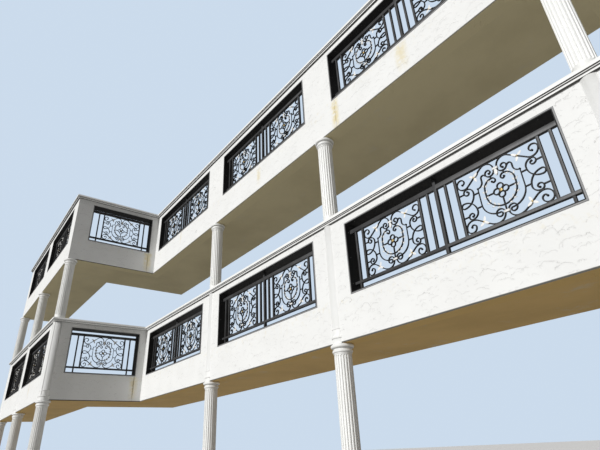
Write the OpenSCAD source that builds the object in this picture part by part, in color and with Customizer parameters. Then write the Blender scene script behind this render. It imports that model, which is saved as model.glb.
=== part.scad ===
// Two-storey iron balcony on fluted columns, built from the ground up and
// cut off at the building wall. Millimetres, +Z up, +Y into the building.
// The plan runs left along a straight front of three bays, steps forward on a
// short return of one bay, and goes on along a projecting wing of two bays.

/* [Storeys] */
// Clear height from the ground to the underside of the lower balcony
soffit_h = 2640; // [2300:10:3200]
// Rise from one balcony to the next
storey_h = 3000; // [2700:10:3600]
// Thickness of a floor slab
slab_t = 250; // [120:5:320]

/* [Plan] */
// Distance between the columns of the straight front
main_pitch = 3310; // [3200:10:3800]
// Clear width of an opening in the straight front
main_open_w = 2680; // [2600:10:2900]
// Width of the parapet left of the last opening, up to the return
inner_pier_w = 215; // [205:5:600]
// Depth of the straight balcony from its face to the building wall
main_depth = 1300; // [900:10:2000]
// How far the wing stands forward of the straight front
wing_forward = 1970; // [1850:10:2400]
// Clear width of the opening in the return
return_open_w = 1475; // [1420:5:1500]
// Width of the parapet between the return's opening and the straight front
return_pier_w = 155; // [150:5:170]
// Clear width of an opening in the wing
wing_open_w = 2280; // [2150:10:2600]
// Width of the wing's piers
wing_pier_w = 420; // [400:5:700]
// Depth of the wing's front balcony from its face to the building wall
wing_depth = 1200; // [900:10:1800]
// Depth of the side balcony behind the return, up to the building wall
side_depth = 1200; // [900:10:1800]

/* [Parapet] */
// Height of the parapet wall from its underside to the coping
parapet_h = 1565; // [1520:5:1700]
// Thickness of the parapet wall
parapet_t = 200; // [180:5:260]
// Height of an opening's sill above the underside
open_z = 530; // [450:5:540]
// Clear height of an opening
open_h = 945; // [935:5:960]

/* [Coping] */
// Height of the lower fascia of the coping
coping_lower_h = 24; // [15:1:40]
// Overhang of the lower fascia
coping_lower_out = 30; // [26:1:34]
// Height of the step between the fasciae
coping_step_h = 12; // [5:1:20]
// Overhang of the step
coping_step_out = 45; // [36:1:50]
// Height of the upper fascia of the coping
coping_upper_h = 40; // [30:1:80]
// Overhang of the upper fascia
coping_upper_out = 60; // [52:1:90]
// Overhang of the coping over the inner face
coping_inner_out = 25; // [10:1:60]

/* [Opening lining] */
// Thickness of the metal lining plates
lining_t = 25; // [15:1:30]
// How far the lining stands proud of the parapet face
lining_proud = 5; // [2:1:12]

/* [Railing] */
// Depth of the railing's middle plane behind the parapet face
railing_y = 90; // [70:1:110]
// Height of the bottom rail's underside above the lining's sill plate
rail_low_gap = 95; // [60:1:110]
// Height of the bottom rail
rail_low_h = 32; // [25:1:40]
// Height of the top rail
rail_top_h = 50; // [30:1:52]
// Gap between the top rail and the lining's head plate
rail_top_gap = 68; // [60:1:80]
// Depth of both rails
rail_d = 40; // [34:1:60]
// Distance between neighbouring upright bars
bar_pitch = 116; // [80:1:120]
// Width of an upright bar
bar_w = 24; // [16:1:28]
// Depth of an upright bar
bar_d = 30; // [16:1:32]
// Width of the centre post
post_w = 34; // [28:1:44]
// Distance between the two upright bars that hold a scroll panel
panel_pitch = 880; // [800:1:940]
// Least gap between the last upright bar and the lining
end_gap = 60; // [45:1:80]

/* [Scrollwork] */
// Width of the flat iron seen from the front
scroll_w = 12; // [8:1:14]
// Depth of the flat iron
scroll_d = 18; // [10:1:26]
// Radius of the solid eye at the end of a scroll
eye_r = 11; // [8:1:12]
// Length of a leaf on an S-scroll
leaf_l = 54; // [40:1:60]
// Width of a leaf on an S-scroll
leaf_w = 20; // [16:1:24]
// Thickness of a leaf's plate
leaf_t = 6; // [3:1:10]
// How far the collars and the leaves laid on a bar stand out from the flat iron
collar_out = 3; // [2:1:5]

/* [Columns] */
// Radius of a column's shaft
shaft_r = 105; // [90:1:120]
// Distance of a column's axis behind the parapet face
col_inset = 80; // [75:1:95]
// Number of flutes round a shaft
flute_n = 20; // [16:1:24]
// Radius of a flute
flute_r = 12; // [8:1:13]
// Side of the square plinth under a ground column
plinth_w = 320; // [290:5:400]
// Height of a plinth
plinth_h = 90; // [60:5:160]
// Height of a capital below the soffit
capital_h = 112; // [110:1:160]
// Radius of a capital's top ring
capital_r = 140; // [130:1:160]
// Height of a capital's top ring
capital_top_h = 48; // [36:1:50]
// How far a capital's lower ring stands out from the shaft
capital_ring_out = 18; // [14:1:24]
// Height of a capital's lower ring
capital_ring_h = 40; // [30:1:42]
// Height of the fillet under a capital's lower ring
capital_fillet_h = 10; // [6:1:14]
// How far the fillet under the lower ring stands out from the shaft
capital_fillet_out = 6; // [5:1:12]
// How far a capital's neck stands out from the shaft
neck_out = 4; // [2:1:8]
// Height of the base ring under a ground column's shaft
base_h = 50; // [40:1:80]
// Height of the plain drum under an upper column's flutes
drum_h = 60; // [40:1:100]

/* [Pilaster feet] */
// Height of the block at a pilaster's foot
foot_h = 60; // [40:1:80]
// How far the foot block stands out from the pilaster
foot_out = 9; // [5:1:12]
// How far the ring on the foot block stands out from the pilaster
foot_ring_out = 19; // [14:1:24]
// Height of the ring on the foot block
foot_ring_h = 32; // [24:1:40]
// Height of the upper foot ring above the parapet's underside
upper_ring_z = 170; // [140:1:220]
// How far the upper foot ring stands out from the pilaster
upper_ring_out = 7; // [4:1:10]
// Height of the upper foot ring
upper_ring_h = 22; // [14:1:30]

/* [Hidden] */
$fn = 48;
eps = 1;

open_top = open_z + open_h;
coping_h = coping_lower_h + coping_step_h + coping_upper_h;
rail_h = parapet_h + coping_h;
corner_x = -3 * main_pitch / 2 - main_open_w / 2 - inner_pier_w;
right_x = main_pitch + (main_pitch - main_open_w) / 2;
wing_y = -wing_forward;
wing_pitch = wing_open_w + wing_pier_w;
left_x = corner_x - 2 * wing_pitch - wing_pier_w;
side_wall_x = corner_x - side_depth;
wing_wall_y = wing_y + wing_depth;
return_y = -return_pier_w - return_open_w / 2;
wing_bay_x = corner_x - wing_pier_w - wing_open_w / 2;

// Undersides of the two balconies above the ground
LEVELS = [soffit_h, soffit_h + storey_h];
LOWER = 0;
UPPER = 1;

// The part's origin: middle of the lower front slab's face on the building wall
slab_left_x = corner_x - parapet_t;
slab_right_x = right_x - parapet_t;
origin = [(slab_left_x + slab_right_x) / 2, main_depth, soffit_h + slab_t / 2];

// Each bay: middle of its opening on the parapet face, turn in plan, clear
// width, and number of scroll panels
BAY_A = [[main_pitch / 2, 0], 0, main_open_w, 2];
BAY_B = [[-main_pitch / 2, 0], 0, main_open_w, 2];
BAY_C = [[-3 * main_pitch / 2, 0], 0, main_open_w, 2];
BAY_D = [[corner_x, return_y], 90, return_open_w, 1];
BAY_E = [[wing_bay_x, wing_y], 0, wing_open_w, 2];
BAY_F = [[wing_bay_x - wing_pitch, wing_y], 0, wing_open_w, 2];
BAYS = [BAY_A, BAY_B, BAY_C, BAY_D, BAY_E, BAY_F];

// Column axes: three on the straight front, three on the wing
COLUMNS = [
    [main_pitch, col_inset],
    [0, col_inset],
    [-main_pitch, col_inset],
    [corner_x - col_inset, wing_y + col_inset],
    [wing_bay_x - wing_pitch / 2, wing_y + col_inset],
    [left_x + col_inset, wing_y + col_inset]
];

// Moves a child from facade measure into the part's own frame
module framed() translate(-origin) children();

// Puts a child on the parapet face at the middle of a bay's opening
module at_bay(bay, level)
    framed()
        translate([bay[0].x, bay[0].y, LEVELS[level]])
            rotate([0, 0, bay[1]])
                children();

module block(low, high) translate(low) cube(high - low);

// Line of the parapet's outer face in plan, moved outwards by a distance
function face_line(out) = [
    [right_x + out, main_depth],
    [right_x + out, -out],
    [corner_x + out, -out],
    [corner_x + out, wing_y - out],
    [left_x - out, wing_y - out],
    [left_x - out, wing_wall_y]
];

function reversed(list) = [for (i = [len(list) - 1 : -1 : 0]) list[i]];

// Strip in plan between two lines beside the parapet's outer face
module face_strip(out, inwards)
    polygon(concat(face_line(out), reversed(face_line(-inwards))));

module floor_slab_front(level)
    color("burlywood")
        framed()
            translate([0, 0, LEVELS[level]])
                block([slab_left_x, parapet_t, 0], [slab_right_x, main_depth, slab_t]);

module floor_slab_wing(level)
    color("burlywood")
        framed()
            translate([0, 0, LEVELS[level]])
                linear_extrude(slab_t)
                    polygon([
                        [slab_left_x, main_depth],
                        [slab_left_x, wing_y + parapet_t],
                        [left_x + parapet_t, wing_y + parapet_t],
                        [left_x + parapet_t, wing_wall_y],
                        [side_wall_x, wing_wall_y],
                        [side_wall_x, main_depth]
                    ]);

// Cuts the openings of some bays through the parapet
module bay_openings(bays, level)
    for (bay = bays)
        at_bay(bay, level)
            translate([-bay[2] / 2, -eps, open_z])
                cube([bay[2], parapet_t + 2 * eps, open_h]);

module parapet_front(level)
    color("whitesmoke")
        difference() {
            framed()
                translate([0, 0, LEVELS[level]])
                    union() {
                        block([slab_left_x, 0, 0], [right_x, parapet_t, parapet_h]);
                        block([slab_right_x, 0, 0], [right_x, main_depth, parapet_h]);
                    }
            bay_openings([BAY_A, BAY_B, BAY_C], level);
        }

module parapet_return(level)
    color("whitesmoke")
        difference() {
            framed()
                translate([0, 0, LEVELS[level]])
                    block([slab_left_x, wing_y + parapet_t, 0], [corner_x, 0, parapet_h]);
            bay_openings([BAY_D], level);
        }

module parapet_wing(level)
    color("whitesmoke")
        difference() {
            framed()
                translate([0, 0, LEVELS[level]])
                    union() {
                        block([left_x, wing_y, 0], [corner_x, wing_y + parapet_t, parapet_h]);
                        block([left_x, wing_y, 0], [left_x + parapet_t, wing_wall_y, parapet_h]);
                    }
            bay_openings([BAY_E, BAY_F], level);
        }

// One layer of the coping, by its height above the parapet wall
module coping_layer(z, h, out)
    translate([0, 0, z])
        linear_extrude(h)
            face_strip(out, parapet_t + coping_inner_out);

module coping(level)
    color("white")
        framed()
            translate([0, 0, LEVELS[level] + parapet_h])
                union() {
                    coping_layer(0, coping_lower_h, coping_lower_out);
                    coping_layer(coping_lower_h, coping_step_h, coping_step_out);
                    coping_layer(coping_lower_h + coping_step_h, coping_upper_h,
                                 coping_upper_out);
                }

// A ring with a half-round rim
module ring(r, h)
    rotate_extrude()
        union() {
            square([r - h / 2, h]);
            translate([r - h / 2, h / 2])
                intersection() {
                    circle(d = h);
                    translate([0, -h])
                        square([h, 2 * h]);
                }
        }

module pilaster()
    union() {
        cylinder(r = shaft_r, h = parapet_h);
        cylinder(r = shaft_r + foot_out, h = foot_h);
        translate([0, 0, foot_h])
            ring(shaft_r + foot_ring_out, foot_ring_h);
        translate([0, 0, upper_ring_z])
            ring(shaft_r + upper_ring_out, upper_ring_h);
    }

// Half-round pilasters that carry the column line up the lower parapet
module pilasters()
    color("white")
        framed()
            translate([0, 0, LEVELS[LOWER]])
                for (place = COLUMNS)
                    difference() {
                        translate([place.x, place.y, 0])
                            pilaster();
                        linear_extrude(3 * parapet_h, center = true)
                            face_strip(0, parapet_t + capital_r);
                    }

module fluted_section()
    difference() {
        circle(r = shaft_r);
        for (i = [0 : flute_n - 1])
            rotate(360 * i / flute_n)
                translate([shaft_r, 0])
                    circle(r = flute_r);
    }

module on_columns(z)
    framed()
        for (place = COLUMNS)
            translate([place.x, place.y, z])
                children();

// Square plinth and base ring of a ground column
module ground_base()
    color("white")
        union() {
            translate([-plinth_w / 2, -plinth_w / 2, 0])
                cube([plinth_w, plinth_w, plinth_h]);
            translate([0, 0, plinth_h])
                ring(shaft_r + base_h / 2, base_h);
        }

// Plain drum under the flutes of an upper column
module upper_base()
    color("white")
        cylinder(r = shaft_r, h = drum_h);

// Turned capital: a fillet, a ring, a neck and the top ring under the soffit
module column_capital()
    color("white")
        union() {
            cylinder(r = shaft_r + neck_out, h = capital_h);
            cylinder(r = shaft_r + capital_fillet_out, h = capital_fillet_h);
            translate([0, 0, capital_fillet_h])
                ring(shaft_r + capital_ring_out, capital_ring_h);
            translate([0, 0, capital_h - capital_top_h])
                ring(capital_r, capital_top_h);
        }

// Heights of the columns' members above the ground
ground_shaft_z = plinth_h + base_h;
ground_capital_z = soffit_h - capital_h;
upper_base_z = soffit_h + rail_h;
upper_shaft_z = upper_base_z + drum_h;
upper_capital_z = soffit_h + storey_h - capital_h;

module column_shaft(h)
    color("white")
        linear_extrude(h)
            fluted_section();

// Metal box that lines every opening of one level
module opening_linings(level)
    color("dimgray")
        for (bay = BAYS)
            at_bay(bay, level)
                difference() {
                    block([-bay[2] / 2, -lining_proud, open_z],
                          [bay[2] / 2, parapet_t, open_top]);
                    block([-bay[2] / 2 + lining_t, -lining_proud - eps, open_z + lining_t],
                          [bay[2] / 2 - lining_t, parapet_t + eps, open_top - lining_t]);
                }

// Heights of the rails above the parapet's underside
rail_low_z = open_z + lining_t + rail_low_gap;
panel_low_z = rail_low_z + rail_low_h;
rail_top_z = open_top - lining_t - rail_top_gap - rail_top_h;
panel_h = rail_top_z - panel_low_z;
panel_mid_z = (panel_low_z + rail_top_z) / 2;

// Half of a bay's width inside the lining
function half_clear(bay) = bay[2] / 2 - lining_t;
function is_single(bay) = bay[3] == 1;

// Plain upright bars that fit to one side of a bay's middle, beside its panel.
// Beside two panels they stand half at the centre post and half at the lining.
function plain_bars(bay) = floor(
    (half_clear(bay) - end_gap - (is_single(bay) ? panel_pitch / 2 : panel_pitch)) / bar_pitch);
function inner_bars(bay) = is_single(bay) ? 0 : ceil(plain_bars(bay) / 2);
function outer_bars(bay) = plain_bars(bay) - inner_bars(bay);

// Distance of a panel's first upright from the middle of its bay
function panel_start(bay) =
    is_single(bay) ? -panel_pitch / 2
    : inner_bars(bay) > 0 ? inner_bars(bay) * bar_pitch
    : (post_w + bar_w) / 2;

// Places of a bay's uprights to one side of its middle
function bar_places(bay) = concat(
    [for (i = [1 : 1 : inner_bars(bay) - 1]) i * bar_pitch],
    is_single(bay) ? [] : [panel_start(bay)],
    [for (i = [0 : 1 : outer_bars(bay)]) panel_start(bay) + panel_pitch + i * bar_pitch]
);

// Middles of the scroll panels of a bay
function panel_places(bay) = is_single(bay)
    ? [0]
    : [for (side = [-1, 1]) side * (panel_start(bay) + panel_pitch / 2)];

module upright(x, w, d, low, high)
    block([x - w / 2, railing_y - d / 2, low], [x + w / 2, railing_y + d / 2, high]);

module railing(bay, level) {
    inner = half_clear(bay);
    sill = open_z + lining_t;
    head = open_top - lining_t;
    places = bar_places(bay);
    color("darkslategray")
        at_bay(bay, level)
            union() {
                block([-inner, railing_y - rail_d / 2, rail_low_z],
                      [inner, railing_y + rail_d / 2, panel_low_z]);
                block([-inner, railing_y - rail_d / 2, rail_top_z],
                      [inner, railing_y + rail_d / 2, rail_top_z + rail_top_h]);
                for (side = [-1, 1], x = places)
                    upright(side * x, bar_w, bar_d, panel_low_z, rail_top_z);
                if (!is_single(bay))
                    upright(0, post_w, rail_d, sill, head);
                for (side = [-1, 1])
                    upright(side * places[len(places) - 1], bar_w, bar_d, sill, rail_low_z);
            }
}

// Bent flat iron, as a smith plans it. A heading is a unit vector, and a bend is
// a radius, the cosine and sine of its turn, and its side. A straight run is a
// bend with a length and no turn. The turns are a quarter and those of a triangle
// with sides 3, 4 and 5, so that the ends are round numbers and bends meet exactly.
LEFT = 1;
RIGHT = -1;
QUARTER = [0, 1];
SHALLOW = [0.8, 0.6];
STEEP = [0.6, 0.8];
function run(length) = [length, [1, 0], 0];
function bends(radii, side) = [for (r = radii) [r, QUARTER, side]];
function across(h, side) = side * [-h.y, h.x];
function turned(h, bend) = [
    h.x * bend[1].x - bend[2] * h.y * bend[1].y,
    h.y * bend[1].x + bend[2] * h.x * bend[1].y
];
function centre_of(p, h, bend) = p + bend[0] * across(h, bend[2]);
function end_of(p, h, bend) = bend[2] == 0
    ? p + bend[0] * h
    : centre_of(p, h, bend) - bend[0] * across(turned(h, bend), bend[2]);

module straight(p, h, length) {
    side = scroll_w / 2 * across(h, LEFT);
    if (length > 0)
        polygon([p + side, p - side, p - side + length * h, p + side + length * h]);
}

module arc(p, h, bend) {
    r = bend[0];
    from = -across(h, bend[2]);
    to = -across(turned(h, bend), bend[2]);
    translate(centre_of(p, h, bend))
        intersection() {
            difference() {
                circle(r = r + scroll_w / 2);
                circle(r = r - scroll_w / 2);
            }
            polygon([[0, 0], 4 * r * from, 4 * r * (from + to), 4 * r * to]);
        }
}

// Draws a chain of bends from a point and heading, with a solid eye at its end
module bent(p, h, chain, eye = true, i = 0) {
    if (i < len(chain)) {
        if (chain[i][2] == 0)
            straight(p, h, chain[i][0]);
        else
            arc(p, h, chain[i]);
        bent(end_of(p, h, chain[i]), turned(h, chain[i]), chain, eye, i + 1);
    } else if (eye) {
        translate(p)
            circle(r = eye_r);
    }
}

module tie(from, to) {
    length = norm(to - from);
    straight(from, (to - from) / length, length);
}

module mirrored_x() {
    children();
    mirror([1, 0]) children();
}

// Where a chain of bends from a point and heading ends
function chain_end(p, h, chain, i = 0) = i == len(chain)
    ? p
    : chain_end(end_of(p, h, chain[i]), turned(h, chain[i]), chain, i + 1);

// Reach of the pattern's middle lines from the panel's middle to its bars and rails
reach_x = (panel_pitch - bar_w - scroll_w) / 2;
reach_z = (panel_h - scroll_w) / 2;

// The pattern is drawn for a reach of 422 by 319. In another panel its bends grow
// or shrink by whole millimetres, and its straights take up what is left.
DRAWN_REACH = [422, 319];
pattern_scale = min(reach_x / DRAWN_REACH.x, reach_z / DRAWN_REACH.y);
function sized(length) = round(length * pattern_scale);
function all_sized(radii) = [for (r = radii) sized(r)];

// S-scroll along the top and the bottom: crowns on the rails, volutes beside the
// middle, and spirals in the corners
crown_x = sized(100);
volute_x = 18;
crown_r = crown_x - volute_x;
upper_drop = sized(16);
upper_volute = all_sized([50, 42, 30, 24, 16]);
lower_volute = all_sized([45, 38, 34, 24, 16]);
corner_r = sized(72);
upper_corner = all_sized([72, 46, 36, 24]);
lower_corner = all_sized([72, 52, 48, 28, 18]);
upper_rise = sized(156);
lower_rise = sized(129);
upper_join_r = sized(60);
lower_join_r = sized(100);
s_run = reach_x - corner_r - crown_x;

// First bend and straight of an S-scroll that end level at its corner spiral
function crown_bend(rise, join_r) = 3 * s_run - 4 * rise - join_r;
function s_straight(rise) = 3 * rise - s_run;

// Middle of an S-scroll's straight, where its leaves sit
function sprig_place(rise, join_r, up) = [
    crown_x + crown_bend(rise, join_r) * SHALLOW.y + s_straight(rise) / 2 * SHALLOW.x,
    up * (reach_z - crown_bend(rise, join_r) * (1 - SHALLOW.x)
          - s_straight(rise) / 2 * SHALLOW.y)
];

module s_scroll(up, inner, rise, corner, join_r) {
    crown = [crown_x, up * reach_z];
    side = up > 0 ? LEFT : RIGHT;
    bent(crown, [-1, 0], s_inner(up, inner), up > 0);
    bent(crown, [1, 0], concat(
        [[crown_bend(rise, join_r), SHALLOW, -side],
         run(s_straight(rise)),
         [join_r, SHALLOW, side]],
        bends(corner, side)));
    translate(sprig_place(rise, join_r, up))
        circle(r = eye_r);
}

// Inner half of an S-scroll: its quarter from the crown, a drop and the volute
function s_inner(up, inner) = concat(
    [[crown_r, QUARTER, up > 0 ? LEFT : RIGHT]],
    up > 0 ? [run(upper_drop)] : [],
    bends(inner, up > 0 ? LEFT : RIGHT));

// Shouldered frame round the medallion, from the upper volutes to the ends of
// the lower ones
neck = all_sized([57, 25, 20]);
frame_start = [5, -15];
frame_r = sized(150);
shoulder_r = 9;
volute_side = [
    volute_x + upper_volute[0] + upper_volute[1],
    reach_z - crown_r - upper_drop - upper_volute[0] + upper_volute[1]
];
frame_top = volute_side + frame_start;
frame_foot = chain_end([crown_x, -reach_z], [-1, 0], s_inner(-1, lower_volute));
shoulder = [frame_top.x + neck[0] + neck[1] + neck[2], sized(103)];
frame_low_z = frame_foot.y + frame_r;

module cartouche() {
    bent(shoulder, [-1, 0], [
        [neck[0], QUARTER, RIGHT],
        run(frame_top.y - shoulder.y - neck[0] - neck[1] + neck[2]),
        [neck[1], QUARTER, LEFT],
        [neck[2], QUARTER, LEFT]], false);
    bent(shoulder, [0, -1], [
        run(shoulder.y - frame_low_z),
        [frame_r, QUARTER, RIGHT],
        run(shoulder.x - frame_r - frame_foot.x)], false);
    translate(shoulder)
        circle(r = shoulder_r);
}

// Medallion ring, open at its top between two small volutes
ring_top = [sized(60), sized(146)];
ring_right = sized(152);
ring_low_z = -sized(16);
ring_volute = all_sized([32, 20, 14]);
ring_shoulder_r = ring_right - ring_top.x;
module medallion() {
    bent(ring_top, [-1, 0], bends(ring_volute, LEFT));
    bent(ring_top, [1, 0], [
        [ring_shoulder_r, QUARTER, RIGHT],
        run(ring_top.y - ring_shoulder_r - ring_low_z),
        [ring_right, QUARTER, RIGHT]], false);
    tie([ring_top.x + scroll_w / 2, ring_top.y],
        [ring_top.x + scroll_w / 2, volute_side.y - upper_volute[1]]);
}

// Level of the side scrolls' loops and of the flower, midway between the joins of
// the S-scrolls
middle_z = (lower_rise - upper_rise) / 2;
join_z = reach_z - (upper_rise + lower_rise) / 2;

// Four-lobed flower with a round boss, right half, held in the medallion
lobe_r = sized(30);
lobe_out = sized(44);
boss_r = sized(18);
module lobe(p)
    translate(p)
        difference() {
            circle(r = lobe_r + scroll_w / 2);
            circle(r = lobe_r - scroll_w / 2);
        }
module flower()
    translate([0, middle_z]) {
        lobe([lobe_out, 0]);
        circle(r = boss_r);
        tie([lobe_out + lobe_r, 0], [ring_right, 0]);
    }

// Scroll beside the frame: a spiral let a little into the S-scroll above it, a
// long bend and half of a loop at the bar
side_x = reach_x - sized(152);
side_spiral = all_sized([66, 34, 32, 22, 15]);
loop_r = sized(28);
side_let_in = 3.5;
side_start = join_z + side_let_in - scroll_w - side_spiral[0];
side_z = min(sized(102), side_start);
loop_dx = reach_x - side_x - loop_r;
loop_dz = side_z + loop_r;
frame_tie_z = sized(76);
bar_tie_drop = sized(8);
bar_tie_z = side_start + side_spiral[0] - side_spiral[1] - bar_tie_drop;
module side_scroll()
    for (down = [0, 1])
        translate([0, middle_z])
            mirror([0, down]) {
                bent([side_x, side_start], [0, 1], bends(side_spiral, RIGHT));
                bent([side_x, side_start], [0, -1], [
                    run(side_start - side_z),
                    [2 * loop_dz - loop_dx, SHALLOW, LEFT],
                    [(3 * loop_dx - loop_dz) / 2, STEEP, LEFT],
                    [loop_r, QUARTER, LEFT]], false);
                tie([shoulder.x, frame_tie_z], [side_x + scroll_w / 4, frame_tie_z]);
                tie([side_x + side_spiral[0] + side_spiral[1], bar_tie_z],
                    [reach_x + scroll_w / 2, bar_tie_z]);
            }

// Pointed leaf with one tip at the origin
module leaf(length, width) {
    bend_r = (length * length + width * width) / (4 * width);
    translate([length / 2, 0])
        intersection_for (side = [-1, 1])
            translate([0, side * (bend_r - width / 2)])
                circle(r = bend_r);
}

// Places a sprig on both halves of both S-scrolls, headed towards its corner
sprig_turn = asin(SHALLOW.y);
module at_sprigs()
    mirrored_x() {
        translate(sprig_place(upper_rise, upper_join_r, 1))
            rotate(-sprig_turn)
                children();
        translate(sprig_place(lower_rise, lower_join_r, -1))
            rotate(sprig_turn)
                children();
    }

// Wreath on the medallion ring: pairs of leaves that point up along it
leaf_spread = 72;
wreath_spread = 40;
wreath_leaf = all_sized([42, 17]);
shoulder_stations = [52, 16];
side_station_z = sized(18);
foot_stations = [-10, -33, -56, -74];
module wreath_pair(p, heading)
    translate(p)
        for (side = [-1, 1])
            rotate(heading + side * wreath_spread)
                leaf(wreath_leaf.x, wreath_leaf.y);
module wreath() {
    for (a = shoulder_stations)
        wreath_pair([ring_top.x + ring_shoulder_r * cos(a),
                     ring_top.y - ring_shoulder_r * (1 - sin(a))], a + 90);
    wreath_pair([ring_right, side_station_z], 90);
    for (a = foot_stations)
        wreath_pair([ring_right * cos(a), ring_low_z + ring_right * sin(a)], a + 90);
}

// Collars round the ties of the two S-scrolls, and a leaf hung from the upper one
collar = all_sized([60, 24]);
pendant = all_sized([78, 36]);
upper_tie_z = reach_z - crown_r - upper_drop / 2;
lower_tie_z = crown_r - reach_z;
module collars()
    for (z = [upper_tie_z, lower_tie_z])
        translate([0, z])
            square(collar, center = true);
module pendant_leaf()
    translate([0, upper_tie_z - collar.y / 2 + pendant.y / 4])
        rotate(-90)
            leaf(pendant.x, pendant.y);

module scroll_bars()
    union() {
        mirrored_x() {
            s_scroll(1, upper_volute, upper_rise, upper_corner, upper_join_r);
            s_scroll(-1, lower_volute, lower_rise, lower_corner, lower_join_r);
            cartouche();
            medallion();
            flower();
            side_scroll();
        }
        lobe([0, middle_z + lobe_out]);
        lobe([0, middle_z - lobe_out]);
        for (z = [upper_tie_z, lower_tie_z])
            tie([-volute_x, z], [volute_x, z]);
        tie([0, middle_z - lobe_out - lobe_r], [0, lower_tie_z]);
    }

// Thin leaves beside the bars
module leaves() {
    mirrored_x() wreath();
    pendant_leaf();
    at_sprigs()
        for (side = [-1, 1])
            rotate(side * leaf_spread)
                leaf(leaf_l, leaf_w);
}

// One layer of the panel, centred in its depth
module layer(depth)
    linear_extrude(depth, center = true)
        children();

module scroll_panel()
    union() {
        layer(scroll_d)
            scroll_bars();
        layer(leaf_t)
            leaves();
        layer(scroll_d + 2 * collar_out) {
            collars();
            at_sprigs()
                rotate(180)
                    leaf(leaf_l, leaf_w);
        }
    }

module scrollwork(bay, level)
    color("black")
        at_bay(bay, level)
            for (x = panel_places(bay))
                translate([x, railing_y, panel_mid_z])
                    rotate([90, 0, 0])
                        scroll_panel();

floor_slab_front(LOWER);  // floor_slab_lower_front
floor_slab_wing(LOWER);  // floor_slab_lower_wing
floor_slab_front(UPPER);  // floor_slab_upper_front
floor_slab_wing(UPPER);  // floor_slab_upper_wing
parapet_front(LOWER);  // parapet_lower_front
parapet_return(LOWER);  // parapet_lower_return
parapet_wing(LOWER);  // parapet_lower_wing
parapet_front(UPPER);  // parapet_upper_front
parapet_return(UPPER);  // parapet_upper_return
parapet_wing(UPPER);  // parapet_upper_wing
coping(LOWER);  // coping_lower
coping(UPPER);  // coping_upper
pilasters();  // pilasters_lower
on_columns(0) ground_base();  // ground_column_bases
on_columns(ground_shaft_z) column_shaft(ground_capital_z - ground_shaft_z);  // ground_column_shafts
on_columns(ground_capital_z) column_capital();  // ground_column_capitals
on_columns(upper_base_z) upper_base();  // upper_column_bases
on_columns(upper_shaft_z) column_shaft(upper_capital_z - upper_shaft_z);  // upper_column_shafts
on_columns(upper_capital_z) column_capital();  // upper_column_capitals
opening_linings(LOWER);  // opening_linings_lower
opening_linings(UPPER);  // opening_linings_upper
railing(BAY_A, LOWER);  // railing_lower_a
railing(BAY_B, LOWER);  // railing_lower_b
railing(BAY_C, LOWER);  // railing_lower_c
railing(BAY_D, LOWER);  // railing_lower_d
railing(BAY_E, LOWER);  // railing_lower_e
railing(BAY_F, LOWER);  // railing_lower_f
railing(BAY_A, UPPER);  // railing_upper_a
railing(BAY_B, UPPER);  // railing_upper_b
railing(BAY_C, UPPER);  // railing_upper_c
railing(BAY_D, UPPER);  // railing_upper_d
railing(BAY_E, UPPER);  // railing_upper_e
railing(BAY_F, UPPER);  // railing_upper_f
scrollwork(BAY_A, LOWER);  // scrollwork_lower_a
scrollwork(BAY_B, LOWER);  // scrollwork_lower_b
scrollwork(BAY_C, LOWER);  // scrollwork_lower_c
scrollwork(BAY_D, LOWER);  // scrollwork_lower_d
scrollwork(BAY_E, LOWER);  // scrollwork_lower_e
scrollwork(BAY_F, LOWER);  // scrollwork_lower_f
scrollwork(BAY_A, UPPER);  // scrollwork_upper_a
scrollwork(BAY_B, UPPER);  // scrollwork_upper_b
scrollwork(BAY_C, UPPER);  // scrollwork_upper_c
scrollwork(BAY_D, UPPER);  // scrollwork_upper_d
scrollwork(BAY_E, UPPER);  // scrollwork_upper_e
scrollwork(BAY_F, UPPER);  // scrollwork_upper_f
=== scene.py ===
from math import atan2, copysign, cos, degrees, pi, radians, sin, tau

import bmesh
import bpy
import numpy as np
from mathutils import Matrix, Vector


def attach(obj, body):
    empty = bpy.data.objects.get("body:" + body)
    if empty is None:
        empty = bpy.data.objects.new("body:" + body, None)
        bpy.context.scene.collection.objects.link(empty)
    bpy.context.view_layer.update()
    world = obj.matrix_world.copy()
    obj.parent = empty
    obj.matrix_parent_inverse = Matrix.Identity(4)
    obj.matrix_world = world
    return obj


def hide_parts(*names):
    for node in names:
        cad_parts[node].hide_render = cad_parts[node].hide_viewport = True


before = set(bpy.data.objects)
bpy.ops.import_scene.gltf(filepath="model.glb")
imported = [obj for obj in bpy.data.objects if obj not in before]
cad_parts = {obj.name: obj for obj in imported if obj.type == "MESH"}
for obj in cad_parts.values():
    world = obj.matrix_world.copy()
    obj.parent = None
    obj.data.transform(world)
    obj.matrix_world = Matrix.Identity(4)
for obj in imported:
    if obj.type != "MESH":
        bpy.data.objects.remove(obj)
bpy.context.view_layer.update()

# Places in the part's frame, in metres

GROUND_Z = -2.765
LOWER_SOFFIT_Z = -0.125
STOREY = 3.0
PARAPET_H = 1.565
FRONT_Y = -1.3
WING_Y = -3.27
RETURN_X = -4.8725
FRONT_CUT_Y = 0.0
WING_CUT_Y = -2.07
LEVELS = {"lower": LOWER_SOFFIT_Z, "upper": LOWER_SOFFIT_Z + STOREY}

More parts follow.
